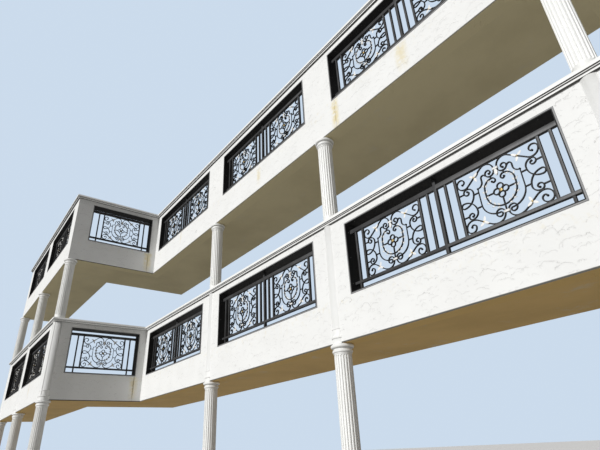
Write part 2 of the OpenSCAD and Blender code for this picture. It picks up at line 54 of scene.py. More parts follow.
# Each bay: middle of its opening on the parapet face, turn in plan in degrees,
# half its clear width, and the panel middles along it
BAYS = {
    "a": ((3.3025, FRONT_Y), 0, 1.340, (-0.672, 0.672)),
    "b": ((-0.0075, FRONT_Y), 0, 1.340, (-0.672, 0.672)),
    "c": ((-3.3175, FRONT_Y), 0, 1.340, (-0.672, 0.672)),
    "d": ((RETURN_X, -2.1925), 90, 0.7375, (0.0,)),
    "e": ((-6.4325, WING_Y), 0, 1.140, (-0.556, 0.556)),
    "f": ((-9.1325, WING_Y), 0, 1.140, (-0.556, 0.556)),
}
RAILING_Y = 0.090
PANEL_MID_Z = 1.007
SILL_Z = 0.530
HEAD_Z = 1.475
LINING_T = 0.025
SCREW_DEPTHS = (0.035, 0.160)
SCREWS_ALONG = (-0.9, -0.45, 0.0, 0.45, 0.9)
SCREWS_UP = (0.12, 0.5, 0.88)
COPING_EASING, LINING_EASING, RAIL_EASING = 0.003, 0.0015, 0.002

# Columns: their axes, and the foot and height of each storey's shafts
COLUMN_AXES = ((4.9575, -1.22), (1.6475, -1.22), (-1.6625, -1.22),
               (-4.9525, -3.19), (-7.7825, -3.19), (-10.6125, -3.19))
SHAFTS = {"ground": (-2.625, 2.388), "upper": (1.576, 1.187)}
SHAFT_R = 0.105
PLAIN_BAND = 0.014
FLUTES = 20
FLUTE_R = 0.012

# Linear colours

STUCCO_WHITE = (0.89, 0.89, 0.87)
STUCCO_SHADE = (0.86, 0.86, 0.84)
# Painted shade along the trowel rims
TROWEL_RIM_SHADE = (0.36, 0.355, 0.33)
STAIN_YELLOW = (0.78, 0.66, 0.34)
STAIN_BROWN = (0.36, 0.28, 0.15)
WASH_GREY = (0.50, 0.48, 0.42)
# A dark band along the foot of the parapets
FOOT_BAND_DARK = (0.06, 0.055, 0.04)
# The lower soffit's beige is browner: painted warm light thrown up from below
SOFFIT_LOWER_BOUNCE_LIT = (0.68, 0.46, 0.165)
SOFFIT_UPPER = (0.68, 0.595, 0.365)
SOFFIT_DARKER = (0.86, 0.85, 0.82)
SOFFIT_PATCH = (0.60, 0.55, 0.44)
MOULDING_WHITE = (0.93, 0.93, 0.91)
MOULDING_SHADE = (0.90, 0.90, 0.87)
MOULDING_STREAK = (0.52, 0.50, 0.44)
SPLASH_BROWN = (0.34, 0.30, 0.24)
LEDGE_DUST = (0.36, 0.35, 0.31)
# Painted shade on the faces of mouldings that look down
UNDERSIDE_SHADE_BLACK = (0.030, 0.028, 0.024)
SCREED_GREY = (0.36, 0.35, 0.33)
SCREED_DARK = (0.28, 0.27, 0.25)
CONCRETE_GREY = (0.30, 0.29, 0.27)
WALL_CUT_PALE = (0.46, 0.44, 0.40)
SLAB_CUT_PALE = (0.44, 0.42, 0.38)
PEBBLE_BROWN = (0.22, 0.19, 0.16)
IRON_GREY = (0.046, 0.046, 0.047)
IRON_BLACK = (0.006, 0.006, 0.0065)
IRON_DUST = (0.20, 0.19, 0.17)
RUST_BROWN = (0.13, 0.055, 0.022)
LEAF_WHITE = (0.90, 0.90, 0.88)
LEAF_WORN = (0.74, 0.73, 0.70)
LEAF_GILT = (0.55, 0.42, 0.20)
BOSS_GILT = (0.62, 0.46, 0.18)
BOSS_TARNISH = (0.26, 0.16, 0.05)
LINING_DARK = (0.017, 0.017, 0.017)
# Painted light: the outer front edge of the linings, grey as if lit
LINING_LIT_EDGE = (0.30, 0.30, 0.30)
LINING_STREAK = (0.05, 0.05, 0.05)
LINING_DUST = (0.24, 0.23, 0.20)
SCREW_ZINC = (0.30, 0.30, 0.31)
SCREW_DULL = (0.10, 0.085, 0.07)
SKY_PALE = (0.60, 0.71, 0.84)
FLOOR_PALE = (0.54, 0.53, 0.515)
FLOOR_SEEN = (1.0, 0.99, 0.97)
FLOOR_MARK = (0.5, 0.5, 0.5)

# Camera, lamps and surround

CAMERA_PLACE = (5.5951, -4.9781, -1.2104)
CAMERA_RIGHT = (0.6110753, 0.7901575, -0.0473086)
CAMERA_UP = (0.3807468, -0.2410047, 0.8927198)
CAMERA_LENS, SENSOR_WIDTH = 26.7145, 36.0
# Each lamp: name, strength, spread in degrees, direction towards it
LAMPS = (("key", 2.88, 7, (0.03, -1.0, 0.40)),
         ("fill", 0.80, 60, (-0.60, 0.90, 0.70)))
SURROUND_LIGHT, SURROUND_STRENGTH = (0.95, 0.97, 1.0), 0.105
FLOOR_SIZE, VIEW_LIMIT = 240.0, 500.0


def linked(name, data):
    """A new object in the scene."""
    made = bpy.data.objects.new(name, data)
    bpy.context.scene.collection.objects.link(made)
    return made


# Node trees

class Graph:
    """Adds nodes to a tree, and joins or sets their sockets."""

    def __init__(self, tree):
        self.tree = tree

    def put(self, socket, value):
        if isinstance(value, bpy.types.NodeSocket):
            self.tree.links.new(value, socket)
        elif isinstance(value, tuple) and len(value) == 3 and socket.type == "RGBA":
            socket.default_value = (*value, 1)
        else:
            socket.default_value = value

    def node(self, kind, sockets=None, **settings):
        made = self.tree.nodes.new(kind)
        for key, value in settings.items():
            setattr(made, key, value)
        for name, value in (sockets or {}).items():
            self.put(made.inputs[name], value)
        return made

    def maths(self, operation, a, b=0.0, c=0.0):
        return self.node("ShaderNodeMath", {0: a, 1: b, 2: c},
                         operation=operation).outputs[0]

    def times(self, *values):
        product = values[0]
        for value in values[1:]:
            product = self.maths("MULTIPLY", product, value)
        return product

    def plus(self, a, b):
        return self.maths("ADD", a, b)

    def minus(self, a, b):
        return self.maths("SUBTRACT", a, b)

    def share(self, a, b):
        return self.maths("DIVIDE", a, b)

    def vector_maths(self, operation, a, b, c=(0, 0, 0)):
        return self.node("ShaderNodeVectorMath", {0: a, 1: b, 2: c},
                         operation=operation).outputs["Vector"]

    def parts(self, vector):
        """The x, y and z of a vector."""
        return self.node("ShaderNodeSeparateXYZ", {0: vector}).outputs

    def vector(self, x, y, z):
        return self.node("ShaderNodeCombineXYZ", {"X": x, "Y": y, "Z": z}).outputs[0]


class Finish(Graph):
    """A procedural material on Object coordinates."""

    def __init__(self, name, roughness, metallic=0.0, shine=0.5):
        self.material = bpy.data.materials.new(name)
        self.material.use_nodes = True
        super().__init__(self.material.node_tree)
        self.shader = self.tree.nodes["Principled BSDF"]
        for key, value in (("Roughness", roughness), ("Metallic", metallic),
                           ("Specular IOR Level", shine)):
            self.put(self.shader.inputs[key], value)
        self.place = self.node("ShaderNodeTexCoord").outputs["Object"]
        self.normal = self.parts(self.node("ShaderNodeNewGeometry").outputs["Normal"])

    def spread(self, value, low, high):
        """Smooth step from 0 to 1 as a value goes from low to high."""
        return self.node("ShaderNodeMapRange", {"Value": value, "From Min": low,
                                                "From Max": high},
                         interpolation_type="SMOOTHSTEP").outputs["Result"]

    def attribute(self, name):
        return self.node("ShaderNodeAttribute", attribute_name=name).outputs["Fac"]

    def facing(self, low, high, axis=2):
        """Smooth step on how far the surface looks along an axis."""
        return self.spread(self.normal[axis], low, high)

    def tint(self, factor, a, b):
        """From colour a at 0 to colour b at 1."""
        return self.node("ShaderNodeMix", {0: factor, 6: a, 7: b},
                         data_type="RGBA").outputs[2]

    def over(self, colour, coat, *factors):
        """A coat over a colour, as strong as the product of the factors."""
        return self.tint(self.times(*factors), colour, coat)

    def level(self, factor, a, b):
        """From value a at 0 to value b at 1."""
        return self.node("ShaderNodeMix", {0: factor, 2: a, 3: b},
                         data_type="FLOAT").outputs[0]

    def stretched(self, scale, shift=(0, 0, 0)):
        return self.node("ShaderNodeMapping", {"Vector": self.place, "Scale": scale,
                                               "Location": shift}).outputs["Vector"]

    def noise(self, scale, detail, rough=0.55, vector=None, out="Fac"):
        return self.node("ShaderNodeTexNoise", {"Vector": vector or self.place,
                                                "Scale": scale, "Detail": detail,
                                                "Roughness": rough}).outputs[out]

    def near(self, value, place, reach):
        """1 where a coordinate is within reach of a place, else 0."""
        return self.maths("COMPARE", value, place, reach)

    def bump(self, height, distance, strength, under=None):
        sockets = {"Height": height, "Distance": distance, "Strength": strength}
        if under is not None:
            sockets["Normal"] = under
        return self.node("ShaderNodeBump", sockets).outputs["Normal"]

    def close(self, colour, rough=None, normal=None):
        given = {"Base Color": colour, "Roughness": rough, "Normal": normal}
        for name, value in given.items():
            if value is not None:
                self.put(self.shader.inputs[name], value)
        return self.material


class Rule(Graph):
    """A Geometry Nodes tree with named inputs, run once on a source mesh."""

    def __init__(self, name, **inputs):
        super().__init__(bpy.data.node_groups.new(name, "GeometryNodeTree"))
        face = self.tree.interface
        face.new_socket("Geometry", in_out="OUTPUT", socket_type="NodeSocketGeometry")
        face.new_socket("Geometry", in_out="INPUT", socket_type="NodeSocketGeometry")
        for title, kind in inputs.items():
            face.new_socket(title, in_out="INPUT", socket_type="NodeSocket" + kind)
        self.given = self.node("NodeGroupInput").outputs

    def attribute(self, name, kind):
        return self.node("GeometryNodeInputNamedAttribute", {"Name": name},
                         data_type=kind).outputs["Attribute"]

    def end(self, geometry):
        """Realizes what there is, gives it the finish and hands it out."""
        real = self.node("GeometryNodeRealizeInstances", {"Geometry": geometry})
        done = self.node("GeometryNodeSetMaterial",
                         {"Geometry": real.outputs[0], "Material": self.given["finish"]})
        self.node("NodeGroupOutput", {"Geometry": done.outputs[0]})

    def run(self, mesh, **values):
        source = linked("source", mesh)
        change = source.modifiers.new("rule", "NODES")
        change.node_group = self.tree
        for item in self.tree.interface.items_tree:
            if item.in_out == "INPUT" and item.name in values:
                change[item.identifier] = values[item.name]
        graph = bpy.context.evaluated_depsgraph_get()
        made = bpy.data.meshes.new_from_object(source.evaluated_get(graph))
        bpy.data.objects.remove(source)
        return made


# Camera and light

def make_camera():
    """The camera stands low on the right and looks up along the front."""
    data = bpy.data.cameras.new("camera")
    data.sensor_width = SENSOR_WIDTH
    data.sensor_fit = "HORIZONTAL"
    data.lens = CAMERA_LENS
    data.clip_end = VIEW_LIMIT
    camera = linked("camera", data)
    right, up = Vector(CAMERA_RIGHT), Vector(CAMERA_UP)
    turn = Matrix((right, up, right.cross(up))).transposed()
    camera.matrix_world = Matrix.Translation(CAMERA_PLACE) @ turn.to_4x4()
    bpy.context.scene.camera = camera


def make_lights():
    """A frontal key lamp, a weak broad one from behind and an even surround."""
    for name, energy, angle, towards in LAMPS:
        lamp = bpy.data.lights.new(name, "SUN")
        lamp.energy = energy
        lamp.angle = radians(angle)
        stand = linked(name, lamp)
        stand.rotation_euler = Vector(towards).to_track_quat("Z", "Y").to_euler()

    world = bpy.data.worlds.new("surround")
    world.use_nodes = True
    world.node_tree.nodes.clear()
    bpy.context.scene.world = world
    graph = Graph(world.node_tree)
    seen = graph.node("ShaderNodeBackground", {"Color": SKY_PALE})
    light = graph.node("ShaderNodeBackground", {"Color": SURROUND_LIGHT,
                                                "Strength": SURROUND_STRENGTH})
    ray = graph.node("ShaderNodeLightPath")
    mix = graph.node("ShaderNodeMixShader", {0: ray.outputs["Is Camera Ray"],
                                             1: light.outputs[0], 2: seen.outputs[0]})
    graph.node("ShaderNodeOutputWorld", {"Surface": mix.outputs[0]})
    bpy.context.scene.view_settings.view_transform = "Standard"


# Rules of the ironwork and the columns

def bent_iron_rule():
    """Flat iron swept along paths laid out on the bench, then stood upright."""
    rule = Rule("bent_iron", width="Float", depth="Float", easing="Float",
                finish="Material")
    path = rule.node("GeometryNodeMeshToCurve", {"Mesh": rule.given["Geometry"]})
    laid = rule.node("GeometryNodeSetCurveNormal", {"Curve": path.outputs[0]}, mode="Z_UP")
    bar = rule.node("GeometryNodeCurvePrimitiveQuadrilateral",
                    {"Width": rule.given["width"], "Height": rule.given["depth"]},
                    mode="RECTANGLE")
    section = rule.node("GeometryNodeFilletCurve",
                        {"Curve": bar.outputs[0], "Count": 1,
                         "Radius": rule.given["easing"]}, mode="POLY")
    swept = rule.node("GeometryNodeCurveToMesh",
                      {"Curve": laid.outputs[0], "Profile Curve": section.outputs[0],
                       "Scale": rule.attribute("taper", "FLOAT"), "Fill Caps": True})
    upright = rule.node("GeometryNodeTransform",
                        {"Geometry": swept.outputs[0], "Rotation": (pi / 2, 0, 0)})
    rule.end(upright.outputs[0])
    return rule


def set_out_rule():
    """One shape set on every point, turned and sized as the point says."""
    rule = Rule("set_out", shape="Object", finish="Material")
    shape = rule.node("GeometryNodeObjectInfo", {"Object": rule.given["shape"]})
    turn = rule.node("FunctionNodeEulerToRotation",
                     {"Euler": rule.attribute("turn", "FLOAT_VECTOR")})
    spots = rule.node("GeometryNodeInstanceOnPoints",
                      {"Points": rule.given["Geometry"],
                       "Instance": shape.outputs["Geometry"],
                       "Rotation": turn.outputs[0],
                       "Scale": rule.attribute("size", "FLOAT_VECTOR")})
    rule.end(spots.outputs[0])
    return rule


# Facets across a flute, and rings of vertices at each end of a shaft
FLUTE_STEPS = 8
END_RINGS = 6


def fluted_shaft_rule():
    """A fluted shaft on every point: each flute is a half-round groove whose
    two ends are rounded, worked out from the number of each vertex."""
    rule = Rule("fluted_shaft", radius="Float", flutes="Int", groove="Float",
                height="Float", plain="Float", finish="Material")
    given = rule.given
    points = rule.times(given["flutes"], FLUTE_STEPS + 1)
    drum = rule.node("GeometryNodeMeshCylinder",
                     {"Vertices": points, "Side Segments": 2 * END_RINGS + 1,
                      "Radius": given["radius"], "Depth": given["height"]},
                     fill_type="NONE")
    number = rule.node("GeometryNodeInputIndex").outputs[0]
    ring = rule.maths("FLOOR", rule.share(rule.plus(number, 0.5), points))
    spot = rule.maths("MODULO", number, points)
    flute = rule.maths("FLOOR", rule.share(rule.plus(spot, 0.5), FLUTE_STEPS + 1))
    across = rule.maths("MODULO", spot, FLUTE_STEPS + 1)
    swing = rule.times(rule.minus(rule.share(across, FLUTE_STEPS), 0.5), pi)
    from_end = rule.maths("MINIMUM", ring, rule.minus(2 * END_RINGS + 1, ring))
    lift = rule.times(rule.minus(END_RINGS, from_end), radians(90 / (END_RINGS - 1)))
    is_groove = rule.maths("GREATER_THAN", from_end, 1.5)
    reach = rule.times(given["groove"],
                       rule.maths("MAXIMUM", rule.maths("COSINE", lift), 0.2))
    along = rule.times(reach, rule.maths("SINE", swing))
    depth = rule.times(reach, is_groove, rule.maths("COSINE", swing))
    square = rule.minus(rule.times(given["radius"], given["radius"]),
                        rule.times(along, along))
    out = rule.minus(rule.maths("SQRT", square), depth)
    rise = rule.minus(rule.plus(given["plain"], given["groove"]),
                      rule.times(given["groove"], rule.maths("SINE", lift)))
    rise = rule.times(rise, rule.maths("GREATER_THAN", from_end, 0.5))
    upper = rule.maths("GREATER_THAN", ring, END_RINGS + 0.5)
    top = rule.minus(given["height"], rise)
    height = rule.plus(rule.times(top, upper), rule.times(rise, rule.minus(1.0, upper)))
    round_by = rule.times(flute, rule.share(tau, given["flutes"]))
    place = rule.node("ShaderNodeVectorRotate",
                      {"Vector": rule.vector(out, along, height), "Angle": round_by},
                      rotation_type="Z_AXIS")
    shaped = rule.node("GeometryNodeSetPosition",
                       {"Geometry": drum.outputs["Mesh"], "Position": place.outputs[0]})
    spots = rule.node("GeometryNodeInstanceOnPoints",
                      {"Points": given["Geometry"], "Instance": shaped.outputs[0]})
    rule.end(spots.outputs[0])
    return rule


# Scroll pattern, in the panel's own place: millimetres, x to the right, z up,
# the origin at the panel's middle

LEFT, RIGHT = 1, -1
QUARTER = 90.0
SHALLOW = degrees(atan2(3, 4))
STEEP = 90.0 - SHALLOW
BEND_STEP = 9.0
MIDDLE_Z = -13.5
IRON_W, IRON_D, IRON_EASING = 12.0, 18.0, 1.6
EYE_R, BUTTON_R = 11.0, 9.0
LOBE_R, LOBE_OUT, LOBE_STEPS = 30.0, 44.0, 32
TIP_POINTS, TIP_SHARE = 6, 0.72
# Volute eyes and buttons by place, sprigs by place and heading, leaves by length
# and width, collars by width and depth
EYES = [(72, 203), (364, 221), (368, -256), (62, 108),
        (331, 139 + MIDDLE_Z), (331, -139 + MIDDLE_Z)]
BUTTON = (217, 103)
SPRIGS = [(226.8, 240.4, -SHALLOW), (235.2, -251.1, SHALLOW)]
LEAF_SIZE, WREATH_LEAF, PENDANT = (60, 27), (42, 17), (78, 36)
LEAF_SPREAD, LEAF_DEPTH, WREATH_SPREAD, PENDANT_Z = 72, 9, 40, 226
COLLAR, COLLAR_TOP, COLLAR_FOOT = (60, 24), 229, -237
SPRIG_BOSS = (0.46, 1.1)


def turned(v, angle):
    """A direction turned by an angle in radians."""
    c, s = cos(angle), sin(angle)
    return np.array((c * v[0] - s * v[1], s * v[0] + c * v[1]))


def bent(start, heading, moves):
    """Points along a bar: a move is a straight run or (radius, turn, side)."""
    at, ahead = np.array(start, float), np.array(heading, float)
    points = [at]
    for move in moves:
        if not isinstance(move, tuple):
            at = at + ahead * move
            points.append(at)
            continue
        radius, turn, side = move
        centre = at + side * radius * np.array((-ahead[1], ahead[0]))
        arm = at - centre
        count = max(2, round(turn / BEND_STEP))
        for index in range(1, count + 1):
            points.append(centre + turned(arm, side * radians(turn) * index / count))
        at = points[-1]
        ahead = turned(ahead, side * radians(turn))
    return points


def volute(radii, side):
    """Quarter turns, each on the next smaller radius."""
    return [(radius, QUARTER, side) for radius in radii]


def joined(first, second):
    """One bar from two that start at the same point."""
    return first[::-1] + second[1:]


def mirrored(points):
    return [np.array((-p[0], p[1])) for p in points]


def flipped(points):
    return [np.array((p[0], -p[1])) for p in points]


def raised(points, rise):
    return [p + np.array((0, rise)) for p in points]


def panel_paths():
    """The open bars and the closed loops of a panel, each as a list of points."""
    crown = (100, 319)
    upper = joined(
        bent(crown, (-1, 0), [(82, QUARTER, LEFT), 16]
             + volute((50, 42, 30, 24, 16), LEFT)),
        bent(crown, (1, 0), [(66, SHALLOW, RIGHT), 218, (60, SHALLOW, LEFT)]
             + volute((72, 46, 36, 24), LEFT)))
    crown = (100, -319)
    leg = bent(BUTTON, (0, -1), [177, (150, QUARTER, RIGHT), 8])
    inner = bent(crown, (-1, 0), volute((82, 45, 38, 34, 24, 16), RIGHT))
    lower = leg + joined(inner, bent(
        crown, (1, 0), [(134, SHALLOW, LEFT), 137, (100, SHALLOW, RIGHT)]
        + volute((72, 52, 48, 28, 18), RIGHT)))[1:]
    neck = bent(BUTTON, (-1, 0), [(57, QUARTER, RIGHT), 33, (25, QUARTER, LEFT),
                                  (20, QUARTER, LEFT)])
    half = joined(bent((60, 146), (-1, 0), volute((32, 20, 14), LEFT)),
                  bent((60, 146), (1, 0), [(92, QUARTER, RIGHT), 70,
                                           (152, QUARTER, RIGHT)]))
    ring = half + mirrored(half)[::-1][1:]
    half = joined(bent((270, 102), (0, 1), volute((66, 34, 32, 22, 15), RIGHT)),
                  bent((270, 102), (0, -1), [(136, SHALLOW, LEFT), (121, STEEP, LEFT),
                                             (28, QUARTER, LEFT)]))
    side = raised(half + flipped(half)[::-1][1:], MIDDLE_Z)

    def straight(a, b):
        return [np.array(a, float), np.array(b, float)]

    ties = [straight((66, 146), (66, 171)), straight((74, MIDDLE_Z), (152, MIDDLE_Z))]
    for near, far, z in ((217, 273, 76), (217, 273, -76),
                         (370, 428, 126), (370, 428, -126)):
        ties.append(straight((near, z + MIDDLE_Z), (far, z + MIDDLE_Z)))
    pairs = [upper, lower, neck, side] + ties
    bars = pairs + [mirrored(path) for path in pairs] + [ring]
    bars.append(straight((0, MIDDLE_Z - LOBE_OUT - LOBE_R), (0, COLLAR_FOOT)))
    bars += [straight((-18, z), (18, z)) for z in (COLLAR_TOP, COLLAR_FOOT)]
    loops = []
    for x, z in ((LOBE_OUT, 0), (-LOBE_OUT, 0), (0, LOBE_OUT), (0, -LOBE_OUT)):
        centre = np.array((x, z + MIDDLE_Z))
        loops.append([centre + turned((LOBE_R, 0), tau * k / LOBE_STEPS)
                      for k in range(LOBE_STEPS)])
    return bars, loops


def path_mesh(bars, loops):
    """Edges along the bars, thinned towards the free ends of the long ones."""
    mesh = bpy.data.meshes.new("paths")
    verts, edges, taper = [], [], []
    for path, is_loop in [(bar, False) for bar in bars] + [(loop, True) for loop in loops]:
        first = len(verts)
        verts += [(p[0] / 1000, p[1] / 1000, 0.0) for p in path]
        edges += [(first + i, first + i + 1) for i in range(len(path) - 1)]
        if is_loop:
            edges.append((first + len(path) - 1, first))
        ends = min(TIP_POINTS, len(path) // 3)
        for i in range(len(path)):
            away = min(i, len(path) - 1 - i)
            is_free = not is_loop and len(path) > 2 * TIP_POINTS and away < ends
            taper.append(TIP_SHARE + (1 - TIP_SHARE) * away / ends if is_free else 1.0)
    mesh.from_pydata(verts, edges, [])
    thin = mesh.attributes.new("taper", "FLOAT", "POINT")
    thin.data.foreach_set("value", taper)
    return mesh


def leaf_places():
    """Each leaf of the right half of a panel: x, depth, z, roll about its own
    length, heading in degrees, and its length and width."""
    places = []
    for x, z, heading in SPRIGS:
        for side in (-1, 1):
            places.append((x, 0, z, 0, heading + side * LEAF_SPREAD, *LEAF_SIZE))
        places.append((x, -LEAF_DEPTH, z, 0, heading + 180, *LEAF_SIZE))
        places.append((x, LEAF_DEPTH, z, 180, heading + 180, *LEAF_SIZE))
    stations = []
    for x, z, radius, angles in ((60, 54, 92, (52, 16)), (0, 18, 152, (0,)),
                                 (0, -16, 152, (-10, -33, -56, -74))):
        for angle in angles:
            step = turned((radius, 0), radians(angle))
            stations.append((x + step[0], z + step[1], angle + 90))
    for x, z, heading in stations:
        for side in (-1, 1):
            places.append((x, 0, z, 0, heading + side * WREATH_SPREAD, *WREATH_LEAF))
    return places


# Small shapes that are set out often

def skin(bm, rows):
    """Faces from row to row of vertices; a row is a closed round or one point."""
    for a, b in zip(rows, rows[1:]):
        count = max(len(a), len(b))
        for k in range(count):
            n = (k + 1) % count
            corners = (a[k % len(a)], a[n % len(a)], b[n % len(b)], b[k % len(b)])
            bm.faces.new(list(dict.fromkeys(corners)))


def leaf_shape():
    """A cast leaf of unit length along x, hollow along its rib, with lobed edges.
    Stations are shares of the length and the width; the section gives places
    across and in depth, and how hollow the leaf is there."""
    stations = ((0.10, 0.55), (0.24, 1.0), (0.34, 0.86), (0.50, 1.04), (0.60, 0.84),
                (0.76, 0.80), (0.88, 0.44))
    section = ((-1.0, -0.001, 0.25), (-0.52, -0.0046, 0.0), (0.0, -0.0016, 1.0),
               (0.52, -0.0046, 0.0), (1.0, -0.001, 0.25), (0.0, 0.0028, 0.5))
    bm = bmesh.new()
    recess = bm.verts.layers.float.new("recess")
    rows = []
    for t, width in stations:
        row = []
        for across, y, hollow in section:
            vert = bm.verts.new((t, y * min(1.0, width + 0.3) - 0.004 * t ** 3,
                                 across * width / 2))
            vert[recess] = hollow
            row.append(vert)
        rows.append(row)
    tips = []
    for x, y in ((0.0, 0.0), (1.0, -0.004)):
        tips.append(bm.verts.new((x, y, 0)))
        tips[-1][recess] = 0.6
    skin(bm, [tips[:1]] + rows + [tips[1:]])
    return as_shape("leaf_shape", bm)


def both_ways(profile):
    """A profile and its mirror image in depth, as one row of stations."""
    return profile + tuple((radius, -y) for radius, y in reversed(profile))


def turned_shape(name, profile, segments, lobes=0, lobe_depth=0.0):
    """A shape turned about the depth axis from (radius, depth) stations, with
    its rim drawn in between lobes where there are any."""
    bm = bmesh.new()
    rows = []
    for radius, y in profile:
        if radius == 0:
            rows.append([bm.verts.new((0, y, 0))])
            continue
        row = []
        for k in range(segments):
            angle = tau * k / segments
            reach = radius * (1 - lobe_depth * (0.5 - 0.5 * cos(lobes * angle)))
            row.append(bm.verts.new((reach * cos(angle), y, reach * sin(angle))))
        rows.append(row)
    skin(bm, rows)
    return as_shape(name, bm)


def collar_shape():
    """A band wrapped round two bars, with a raised rim at its top and foot."""
    half_x, half_y = COLLAR[0] / 2000, COLLAR[1] / 2000
    cut = 0.004
    loop = [(half_x - cut, -half_y), (half_x, -half_y + cut), (half_x, half_y - cut),
            (half_x - cut, half_y), (-half_x + cut, half_y), (-half_x, half_y - cut),
            (-half_x, -half_y + cut), (-half_x + cut, -half_y)]
    bm = bmesh.new()
    rows = []
    for z, inset in ((-12, 2.0), (-10.5, 0), (-7, 0), (-5.5, 2.2), (0, 1.6),
                     (5.5, 2.2), (7, 0), (10.5, 0), (12, 2.0)):
        rows.append([bm.verts.new((x - copysign(inset / 1000, x),
                                   y - copysign(inset / 1000, y), z / 1000))
                     for x, y in loop])
    skin(bm, rows)
    bm.faces.new(rows[0])
    bm.faces.new(rows[-1])
    return as_shape("collar_shape", bm)


def as_shape(name, bm):
    """A helper object for the rules to set out, not linked to the scene."""
    bmesh.ops.recalc_face_normals(bm, faces=bm.faces)
    mesh = bpy.data.meshes.new(name)
    bm.to_mesh(mesh)
    bm.free()
    return bpy.data.objects.new(name, mesh)


def point_mesh(points):
    """Points with a turn in degrees and a size each, for the set-out rule."""
    mesh = bpy.data.meshes.new("points")
    mesh.from_pydata([place for place, _, _ in points], [], [])
    turn = mesh.attributes.new("turn", "FLOAT_VECTOR", "POINT")
    size = mesh.attributes.new("size", "FLOAT_VECTOR", "POINT")
    turn.data.foreach_set("vector", [radians(v) for p in points for v in p[1]])
    size.data.foreach_set("vector", [float(v) for p in points for v in p[2]])
    return mesh


# Masonry finishes

# Each size of trowel fan: scale of its pattern, reach, shift, strength
FANS = ((3.7, 0.46, 0.0, 1.0), (4.6, 0.45, 3.1, 0.9), (5.7, 0.44, 7.7, 0.8),
        (7.4, 0.43, 12.9, 0.8), (9.6, 0.42, 21.3, 0.6))
FAN_WANDER = (0.20, 0.20, 0.20)


def fan_strokes(finish):
    """Overlapping fans left by the trowel. Each is the upper rim of a disc, and
    the coat swells a little towards the rim. Returns the height, and a mask of
    painted shade: thin dark lines along the rims where the ridges would be shaded."""
    height, rim_shade = 0.0, 0.0
    wander = finish.vector_maths("SUBTRACT", finish.noise(4.2, 5.0, 0.65, out="Color"),
                                 (0.5, 0.5, 0.5))
    ragged = finish.noise(24.0, 6.0, 0.75)
    for scale, reach, shift, strength in FANS:
        laid = finish.stretched((1, 1, 1.5), (shift, 2 * shift, shift))
        spot = finish.vector_maths("MULTIPLY_ADD", wander, FAN_WANDER, laid)
        cells = finish.node("ShaderNodeTexVoronoi", {"Vector": spot, "Scale": scale},
                            feature="F1").outputs
        local = finish.parts(finish.vector_maths("SUBTRACT", spot, cells["Position"]))
        own = finish.parts(cells["Color"])
        lean = finish.times(finish.plus(local[0], local[1]),
                            finish.minus(own[2], 0.5), 1.3)
        up = finish.times(finish.plus(local[2], lean), scale)
        away = finish.share(cells["Distance"], finish.level(own[0], reach * 0.66, reach))
        swell = finish.times(finish.spread(away, 1.02, 0.99),
                             finish.spread(away, 0.84, 1.0))
        # Painted shade: a thin band at each rim
        line = finish.times(finish.spread(away, 0.955, 0.985),
                            finish.spread(away, 1.025, 0.995))
        upper = finish.spread(up, 0.04, 0.22)
        kept = finish.spread(finish.plus(ragged, finish.times(own[1], 0.24)), 0.55, 0.62)
        height = finish.maths("MAXIMUM", height, finish.times(swell, upper, kept))
        rim_shade = finish.maths("MAXIMUM", rim_shade, finish.times(line, upper, kept, strength))
    return height, rim_shade


# Each run of rusty water: x, y, top z, half width, length, strength, and how
# much of it is a dark line down its middle
RUNS = (
    (3.282, FRONT_Y, 3.395, 0.090, 0.54, 0.55, 0.05),
    (2.018, FRONT_Y, 3.400, 0.070, 0.70, 0.90, 0.50),
    (-0.030, FRONT_Y, 3.340, 0.055, 0.42, 0.60, 0.10),
    (-3.310, FRONT_Y, 3.395, 0.040, 0.34, 0.30, 0.10),
    (RETURN_X, -1.480, 0.405, 0.085, 0.60, 0.60, 0.95),
    (RETURN_X, -1.480, 3.405, 0.090, 0.62, 0.75, 0.90),
    (-6.460, WING_Y, 0.395, 0.050, 0.36, 0.35, 0.10),
    (-9.150, WING_Y, 3.395, 0.045, 0.40, 0.35, 0.10),
)
# How far the grey wash runs down from the coping, the yellow below a sill and
# splashes up from the ground; the height of the dark band at the parapets' foot; where the
# tiers part
WASH_REACH, SILL_REACH, SPLASH_REACH = 0.40, 0.30, 0.45
FOOT_BAND_SPAN, BETWEEN_TIERS, CUT_REACH = (0.020, 0.014), (1.0, 1.2), 0.003


def soffit_beige_and_bounce(finish, z):
    """Beige paint; under the lower slabs browner and warmer, as painted light thrown up
    from the ground.
    """
    return finish.tint(finish.spread(z, *BETWEEN_TIERS), SOFFIT_LOWER_BOUNCE_LIT, SOFFIT_UPPER)


